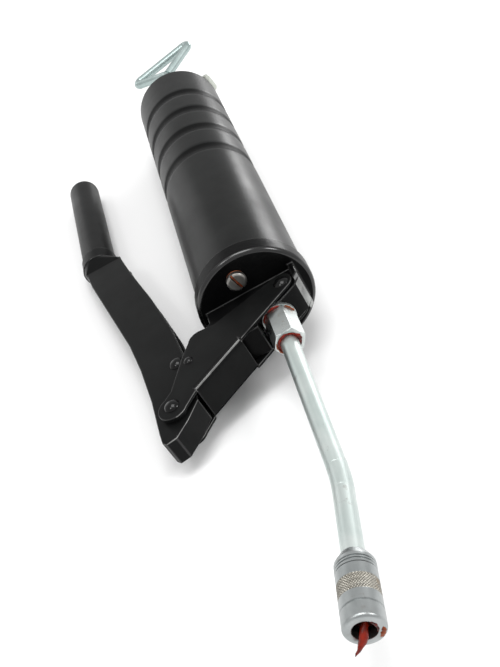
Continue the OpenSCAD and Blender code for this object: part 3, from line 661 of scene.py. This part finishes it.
def strand(name, points, radii, matrix, material, body, wobble=0.25, sides=14, squash=None):
    """A lumpy rope of grease through points in millimetres, as thick as radii say. squash flattens it along
    the axes of matrix."""
    bm = bmesh.new()
    points = [Vector(p) for p in points]
    rings = []
    for i, (point, radius) in enumerate(zip(points, radii)):
        along = (points[min(i + 1, len(points) - 1)] - points[max(i - 1, 0)]).normalized()
        side = along.cross(ASKEW).normalized()
        over = along.cross(side)
        ring = []
        for k in range(sides):
            angle = TAU * k / sides
            out = side * math.cos(angle) + over * math.sin(angle)
            lump = 1 + wobble * 2 * noise.noise(point * LUMPS_ALONG + out * LUMPS_ROUND)
            step = out * radius * lump
            if squash:
                step = Vector((step.x * squash[0], step.y * squash[1], step.z * squash[2]))
            ring.append(bm.verts.new((point + step) * MM))
        rings.append(ring)
    for first, second in zip(rings, rings[1:]):
        for k in range(sides):
            n = (k + 1) % sides
            bm.faces.new((first[k], first[n], second[n], second[k]))
    bm.faces.new(rings[0][::-1])
    bm.faces.new(rings[-1])
    bm.transform(matrix)
    return place_piece(make_object(name, bm, material, 80), body, None)


def bead(name, x, ring_r, thick, start, end, matrix, material, body, swell=0.35, **more):
    """A strand bent round the X axis of matrix, from start to end degrees, thinned towards its ends."""
    count = max(12, int(abs(end - start) / BEAD_STEP))
    points, radii = [], []
    for i in range(count + 1):
        t = i / count
        angle = math.radians(start + (end - start) * t)
        uneven = noise.noise(Vector((t * 6.0, ring_r, x)))
        r = ring_r + 0.25 * uneven
        points.append((x, r * math.cos(angle), r * math.sin(angle)))
        radii.append(thick * (0.15 + 0.85 * math.sin(math.pi * t) ** 0.4) * (1 + swell * 2 * uneven))
    return strand(name, points, radii, matrix, material, body, **more)


# At the outlet: in the recess round the pipe, and on the washer under the hexagon.
gland_low, gland_high = local_box("pipe_gland")
ring_low, ring_high = local_box("outlet_washer")
HEX_FRONT = local_box("outlet_adapter")[1].x
GLAND_R = (gland_high.y - gland_low.y) / 2
WASHER_R = (ring_high.y - ring_low.y) / 2
OUTLET = at_gun(0, (gland_low.y + gland_high.y) / 2)
bead("grease_gland", HEX_FRONT - 0.6, GLAND_R - 0.75, 1.0, -70, 250, OUTLET, M["grease"], "gun")
bead(
    "grease_gland_film", HEX_FRONT - 0.02, GLAND_R + 0.35, 0.5, 150, 255, OUTLET, M["grease_thin"], "gun",
    squash=(0.35, 1, 1),
)
bead("grease_washer", ring_high.x - 0.05, WASHER_R - 0.9, 0.75, 62, 168, OUTLET, M["grease"], "gun")
bead(
    "grease_washer_film", ring_high.x - 0.05, WASHER_R - 0.7, 0.5, -20, 50, OUTLET, M["grease_thin"], "gun",
    squash=(0.4, 1, 1),
)

# In the vent screw's slot.
screw_low, screw_high = local_box("vent_screw")
SLOT_DEPTH = 1.45
SLOT_HALF = 4.5
SLOT_STEPS = 20
SCREW = at_gun(screw_high.x - SLOT_DEPTH, (screw_low.y + screw_high.y) / 2, (screw_low.z + screw_high.z) / 2)
slot_dir = Vector((0, 0.235, -0.972))
slot_line = [slot_dir * SLOT_HALF * (2 * i / SLOT_STEPS - 1) for i in range(SLOT_STEPS + 1)]
slot_fill = [0.25 + 0.38 * math.sin(math.pi * i / SLOT_STEPS) ** 0.5 for i in range(SLOT_STEPS + 1)]
strand("grease_slot", slot_line, slot_fill, SCREW, M["grease_thin"], "vent_screw", wobble=0.3)

# At the mouth: a plug, a strand that hangs out of it, and smears on its rim.
plug_line = [(NIPPLE_STOP - 1.6 + 0.5 * i, 0, 0) for i in range(4)]
plug_radii = [3.2, 3.7, 3.2, 1.4]
strand("grease_mouth", plug_line, plug_radii, COUPLER, M["grease_dark"], "gun", wobble=0.12, sides=24)
drop_line = [
    (NIPPLE_STOP + 0.2, 0.3, 0.3), (30.2, -0.1, -0.6), (31.4, -0.7, -1.8), (32.3, -1.5, -3.1),
    (33.0, -2.4, -4.4), (33.5, -3.2, -5.6), (33.9, -4.0, -6.6), (34.1, -4.6, -7.4),
]
drop_radii = [1.2, 1.45, 1.45, 1.3, 1.05, 0.7, 0.4, 0.12]
strand("grease_drop", drop_line, drop_radii, COUPLER, M["grease"], "gun", wobble=0.3)
bead(
    "grease_rim", COUPLER_LEN + 0.02, 5.9, 0.8, -42, 8, COUPLER, M["grease_thin"], "gun",
    squash=(0.45, 1, 1),
)
bead(
    "grease_lip", COUPLER_LEN - 0.2, MOUTH_R - 0.1, 0.6, -20, 60, COUPLER, M["grease"], "gun",
    squash=(0.8, 1, 1),
)

# ---- floor, light and camera ----


def area_light(name, place, target, size, power, size_y=None):
    """A white soft light at place that points at target. Metres and watts."""
    data = bpy.data.lights.new(name, "AREA")
    data.energy = power
    data.shape = "RECTANGLE" if size_y else "SQUARE"
    data.size = size
    if size_y:
        data.size_y = size_y
    lamp = bpy.data.objects.new(name, data)
    lamp.location = place
    lamp.rotation_euler = (Vector(target) - Vector(place)).to_track_quat("-Z", "Y").to_euler()
    bpy.context.scene.collection.objects.link(lamp)


FLOOR_HALF = 4
floor_mesh = bmesh.new()
bmesh.ops.create_grid(floor_mesh, x_segments=2, y_segments=2, size=FLOOR_HALF)
floor_shader = Shader("pale_floor", (0.86, 0.86, 0.86), 0.6, Specular_IOR_Level=0.2)
floor_tones = [(0.3, (0.85, 0.85, 0.85)), (0.7, (0.87, 0.87, 0.87))]
floor_shader.color(floor_shader.ramp(floor_shader.noise(3, 2), floor_tones))
make_object("floor", floor_mesh, floor_shader.mat)

world = bpy.data.worlds.new("studio")
world.use_nodes = True
background = world.node_tree.nodes["Background"]
background.inputs["Color"].default_value = (1, 1, 1, 1)
background.inputs["Strength"].default_value = 0.75
bpy.context.scene.world = world
bpy.context.scene.view_settings.view_transform = "Standard"

area_light("key", (0.15, -0.05, 1.5), (0, 0, 0), 0.8, 12)
area_light("back_left", (-1.25, -0.8, 0.4), (0, 0, 0), 0.7, 1.2)
area_light("back_right", (-1.15, 0.85, 0.25), (0, 0, 0.03), 0.5, 6, 0.3)
area_light("right", (0.42, 1.0, 1.05), (0.07, -0.03, 0.03), 0.35, 5)
area_light("front_left", (0.55, -0.75, 1.25), (0.07, 0, 0.03), 0.3, 3)

# The camera stands and looks as the photograph's did, in the gun's axes and in millimetres.
CAMERA_AT = Vector((359.8, 36.7, 256.3))
CAMERA_RIGHT = Vector((0.212, 0.874, -0.438))
CAMERA_DOWN = Vector((0.57, -0.474, -0.671))
SENSOR_HEIGHT = 36
LENS = 48.5757

camera_data = bpy.data.cameras.new("camera")
camera_data.sensor_fit = "VERTICAL"
camera_data.sensor_height = SENSOR_HEIGHT
camera_data.lens = LENS
camera_data.clip_start = 0.01
camera = bpy.data.objects.new("camera", camera_data)
right = CAMERA_RIGHT.normalized()
backward = CAMERA_DOWN.cross(right).normalized()
up = backward.cross(right).normalized()
pose = Matrix((right, up, backward)).transposed().to_4x4()
pose.translation = CAMERA_AT * MM
camera.matrix_world = GUN @ pose
bpy.context.scene.collection.objects.link(camera)
bpy.context.scene.camera = camera
